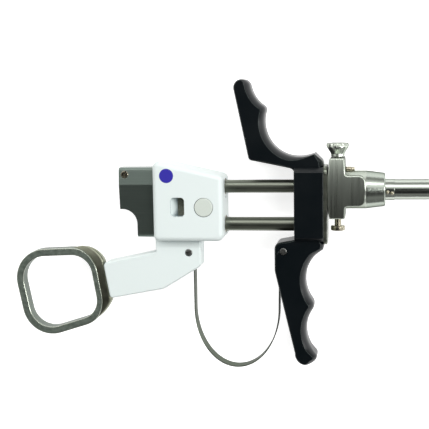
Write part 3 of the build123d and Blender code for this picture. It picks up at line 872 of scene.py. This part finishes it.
# %% [markdown]
# ## Finger grip
# The grip is one black moulding: a hook for the index finger, a hub, and a rest for two fingers.
# Its finger side has a broad rounded rim and its palm side a narrow one, so the rim's width follows
# the direction in which the outline faces.

# %% Grip
grip_half = 6.75
hub_back = -35.3
hub_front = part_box("face_plate")[0][0] / MM
hub_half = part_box("finger_grip")[1][2] / MM
hub_easing = 0.35
# Heights of the hub's section from top to bottom, and its half depth at each of them.
hub_heights = (9.3, 7.6, -18.4, -20.0)
hub_halves = (grip_half, hub_half, hub_half, grip_half)
broad_rim = 2.0
narrow_rim = 0.35
rim_crease = 42.0
slice_height = 3.3
pocket_x, pocket_y, pocket_z = (-45.0, -37.3), (-50.0, -22.0), (-3.1, 3.1)
pin_hole_radius = 1.62


def rim_width(normal):
    """Broad where the outline faces the fingers, narrow where it faces the palm."""
    part = min(max((normal.x + 0.35) / 0.7, 0.0), 1.0)
    return narrow_rim + (broad_rim - narrow_rim) * part * part * (3 - 2 * part)


def section_loop(node, height):
    """The outline of a CAD node at a height, in millimetres."""
    level = mm(height)
    work = bmesh.new()
    work.from_mesh(nodes[node].data)
    everything = work.verts[:] + work.edges[:] + work.faces[:]
    cut = bmesh.ops.bisect_plane(work, geom=everything, plane_co=(0, 0, level), plane_no=(0, 0, 1))
    cut_points = [v for v in cut["geom_cut"] if isinstance(v, bmesh.types.BMVert)]
    bmesh.ops.remove_doubles(work, verts=cut_points, dist=1e-6)
    # A list keeps its order, so the outline starts at the same point on every run.
    on_plane = [e for e in work.edges if all(abs(v.co.z - level) < 1e-7 for v in e.verts)]
    loops = []
    while on_plane:
        edge = on_plane.pop()
        loop = [edge.verts[0], edge.verts[1]]
        while True:
            following = next((e for e in loop[-1].link_edges if e in on_plane), None)
            if following is None:
                break
            on_plane.remove(following)
            loop.append(following.other_vert(loop[-1]))
        loops.append([(v.co.x / MM, v.co.y / MM) for v in loop[:-1]])
    work.free()
    return max(loops, key=len)


def bevel_edges(piece, width, segments=2, angle=30.0):
    """Eases a piece's sharp edges, with the width in millimetres, for good."""
    work = bmesh.new()
    work.from_mesh(piece.data)
    limit = math.radians(angle)
    edges = [e for e in work.edges if len(e.link_faces) == 2 and e.calc_face_angle() > limit]
    bmesh.ops.bevel(
        work, geom=edges, offset=mm(width), segments=segments, profile=0.5, affect="EDGES"
    )
    for face in work.faces:
        face.smooth = True
    for edge in work.edges:
        edge.smooth = len(edge.link_faces) == 2 and edge.calc_face_angle() < limit
    work.to_mesh(piece.data)
    work.free()


# The slice is taken above the spring's pocket and below the screws' holes.
grip_loop = spaced(counter_clockwise(section_loop("finger_grip", slice_height)), 0.55)
vertices, faces = skin(slab_rings(grip_loop, grip_half, rim_width, 5, rim_crease))
grip = new_piece("grip_moulding", "handle", black_grip, vertices, faces)
pin_low, pin_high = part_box("grip_pin")
pin_xy = ((pin_low[0] + pin_high[0]) / 2 / MM, (pin_low[1] + pin_high[1]) / 2 / MM)
pocket = block("pocket", pocket_x, pocket_y, pocket_z)
pin_hole = drum("pin_hole", pin_hole_radius, -grip_half - 1, grip_half + 1, pin_xy)
carve(grip, [pocket, pin_hole])
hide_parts("finger_grip")

hub_section = list(zip(hub_heights, hub_halves))
hub_section += [(y, -z) for y, z in reversed(hub_section)]
vertices, faces = skin([[(x, y, z) for y, z in hub_section] for x in (hub_back, hub_front)])
hub = new_piece("grip_hub", "handle", black_grip, vertices, faces)
bevel_edges(hub, hub_easing)
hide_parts("finger_grip")
print("grip outline points:", len(grip_loop))

# %% [markdown]
# ## Thumb ring
# The ring is a satin band with crisp rims, and the side that faces the arm swells into a polished
# saddle, a little lower than the band. Both are drawn in the ring's own directions, along the arm
# and beside it, and are then turned and moved into place.

# %% Ring
arm_tilt = math.radians(10.0)
arm_end = Vector((-112.7, -37.0))
ring_reach = 21.0
ring_band = 3.0
ring_rim = 0.35
rim_steps = 4
band_narrowing = 0.6
opening_corners = ((-15.1, 15.6), (14.9, 11.7), (14.6, -13.3), (-14.5, -17.2))
opening_radii = (9.5, 8.5, 8.0, 9.5)
ring_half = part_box("thumb_ring")[1][2] / MM
saddle_half = 2.3
saddle_front = ring_reach - 0.3
saddle_ends = (-16.2, 15.5)
saddle_flat = 5.0
saddle_slope = 11.5
saddle_fall = 0.8
saddle_rounding = 1.2
along_arm = Vector((math.cos(arm_tilt), math.sin(arm_tilt)))
beside_arm = Vector((-along_arm.y, along_arm.x))
ring_centre = arm_end - along_arm * ring_reach


def in_place(loop):
    """A loop given along the arm and beside it, from the ring's centre, turned into the drawing."""
    return [tuple(ring_centre + along_arm * u + beside_arm * v) for u, v in loop]


def band_mesh(inner, half, rim):
    """A flat band round a loop, with its four rims rounded; it is narrower over the saddle."""
    turns = [math.radians(90 * i / rim_steps) for i in range(rim_steps + 1)]
    inset = [(rim * (1 - math.sin(a)), rim * (1 - math.cos(a))) for a in turns]
    sections = []
    for (x, y), n in zip(inner, outward(inner)):
        facing = min(max((n.dot(along_arm) - 0.5) / 0.4, 0.0), 1.0)
        band = ring_band - band_narrowing * facing
        profile = [(u, half - v) for u, v in reversed(inset)]
        profile += [(band - u, half - v) for u, v in inset]
        profile += [(u, -z) for u, z in reversed(profile)]
        sections.append([(x + n.x * u, y + n.y * u, z) for u, z in profile])
    vertices, faces = skin(sections, closed_ends=False)
    size, last = len(profile), (len(sections) - 1) * len(profile)
    faces += [(last + i, last + (i + 1) % size, (i + 1) % size, i) for i in range(size)]
    return vertices, faces


def reach_at(loop, beside):
    """How far a loop reaches along the arm, at a distance beside the arm's axis."""
    reach = 0.0
    for (u, v), (next_u, next_v) in zip(loop, loop[1:] + loop[:1]):
        if (v - beside) * (next_v - beside) < 0:
            reach = max(reach, u + (next_u - u) * (beside - v) / (next_v - v))
    return reach


def saddle_mesh(back, front, half, stations=41):
    """A barrel between two outlines: full height in the middle and sloping down to both ends."""
    sections = []
    for i in range(stations):
        beside = saddle_ends[0] + (saddle_ends[1] - saddle_ends[0]) * i / (stations - 1)
        past = max(abs(beside) - saddle_flat, 0.0) / saddle_slope
        height = half * (1 - saddle_fall * past * past)
        start, end = reach_at(back, beside) + ring_band / 2, reach_at(front, beside)
        radius = min(saddle_rounding, 0.8 * height, 0.8 * (end - start))
        corner = turn_arc((end - radius, height - radius), radius, 90, -90, 6)
        profile = [(start, height)] + corner
        profile += [(u, -z) for u, z in reversed(profile)]
        centre = ring_centre + beside_arm * beside
        sections.append([(*(centre + along_arm * u), z) for u, z in profile])
    return skin(sections)


opening = spaced(counter_clockwise(rounded(opening_corners, opening_radii)), 0.8)
vertices, faces = band_mesh(in_place(opening), ring_half, ring_rim)
ring = new_piece("ring_band", "ring", ring_steel, vertices, faces)
ring.data.materials.append(ring_edge)
for face in ring.data.polygons:
    # Round a section, each rim's short sides are followed by one long side between rims.
    face.material_index = 1 if face.index % (rim_steps + 1) < rim_steps else 0
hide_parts("thumb_ring")

saddle_front_line = arc((10.0, -16.3), (15.4, -13.9), (saddle_front, -8.6))
saddle_front_line += arc((saddle_front, 8.3), (17.1, 13.6), (11.0, 15.6))
vertices, faces = saddle_mesh(opening, saddle_front_line, saddle_half)
saddle = new_piece("ring_saddle", "ring", ring_polish, vertices, faces)
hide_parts("thumb_ring")
print("ring stations:", len(opening))

# %% [markdown]
# ## Leaf spring
# The spring is one ribbon: an eye round the arm's pin, a leg, half an ellipse, a second leg and an
# eye round the grip's pin. Each leg follows its own pin.

# %% Ribbon
leaf_thickness = 0.45
leaf_width = 5.5
leaf_rim = 0.12
leaf_bend_y = -48.0
leaf_depth = 24.3
leaf_slant = 0.4
leaf_pin = 1.5
leaf_pin_gap = 0.05


def pin_centre(node):
    """The middle of a pin, seen from above, in millimetres."""
    low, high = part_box(node)
    return ((low[0] + high[0]) / 2 / MM, (low[1] + high[1]) / 2 / MM)


def ribbon_path():
    """The ribbon's middle line, from the arm's eye to the grip's eye."""
    arm_pin, grip_pin = pin_centre("arm_pin"), pin_centre("grip_pin")
    eye = leaf_pin + leaf_pin_gap + leaf_thickness / 2
    left, right = arm_pin[0] + eye, grip_pin[0] - eye
    middle, span = (left + right - leaf_slant) / 2, (right - leaf_slant - left) / 2
    path = turn_arc(arm_pin, eye, -70, 70, 20)
    path += [(left, arm_pin[1] + (leaf_bend_y - arm_pin[1]) * k / 12) for k in range(1, 12)]
    for k in range(61):
        angle = math.radians(180 + 180 * k / 60)
        path.append((middle + span * math.cos(angle), leaf_bend_y + leaf_depth * math.sin(angle)))
    start, end = Vector((right - leaf_slant, leaf_bend_y)), Vector((right, grip_pin[1]))
    path += [tuple(start.lerp(end, k / 12)) for k in range(1, 12)]
    path += turn_arc(grip_pin, eye, 180, 70, 20)
    return path


def ribbon_mesh(path):
    """A thin strip with eased edges that stands on its side along the path."""
    half, rim = leaf_thickness / 2, leaf_rim
    high = leaf_width / 2
    profile = [(-half, -high + rim), (-half + rim, -high), (half - rim, -high), (half, -high + rim)]
    profile += [(half, high - rim), (half - rim, high), (-half + rim, high), (-half, high - rim)]
    rings = []
    for i, point in enumerate(path):
        before, after = Vector(path[max(i - 1, 0)]), Vector(path[min(i + 1, len(path) - 1)])
        along = (after - before).normalized()
        across = Vector((along.y, -along.x))
        rings.append([(point[0] + across.x * u, point[1] + across.y * u, z) for u, z in profile])
    return skin(rings)


ribbon = ribbon_path()
hair_gap = 0.02
# The legs keep to their pins.
arm_joint = next(i for i, point in enumerate(ribbon) if point[1] < leaf_bend_y + 2)
grip_joint = next(i for i in range(len(ribbon) - 1, 0, -1) if ribbon[i][1] < leaf_bend_y + 2)
arm_leg_end = (ribbon[arm_joint][0], ribbon[arm_joint][1] + hair_gap)
grip_leg_end = (ribbon[grip_joint][0], ribbon[grip_joint][1] + hair_gap)
parts = (
    ("leaf_arm_leg", "carriage", ribbon[:arm_joint] + [arm_leg_end]),
    ("leaf_grip_leg", "handle", [grip_leg_end] + ribbon[grip_joint + 1 :]),
    ("leaf_bend", "handle", ribbon[arm_joint : grip_joint + 1]),
)
for part_name, part_body, points in parts:
    vertices, faces = ribbon_mesh(points)
    leaf = new_piece(part_name, part_body, spring_steel, vertices, faces, sharp=40.0)
    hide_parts("leaf_spring")
# The bend was drawn last, so leaf is the bend here.
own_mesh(leaf)
print("ribbon points:", len(ribbon))

# %% [markdown]
# ## Coil springs
# Two small coils sit behind the sheath's lock and under the release button. Each is a copy of its
# CAD node.

# %% Coils


def closing_coil(node):
    """A copy of a CAD spring that stands in for its node."""
    mesh = nodes[node].data.copy()
    mesh.materials.clear()
    mesh.materials.append(spring_steel)
    coil = bpy.data.objects.new(node + "_coil", mesh)
    bpy.context.scene.collection.objects.link(coil)
    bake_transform(coil)
    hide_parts(node)


closing_coil("lock_spring")
closing_coil("button_spring")
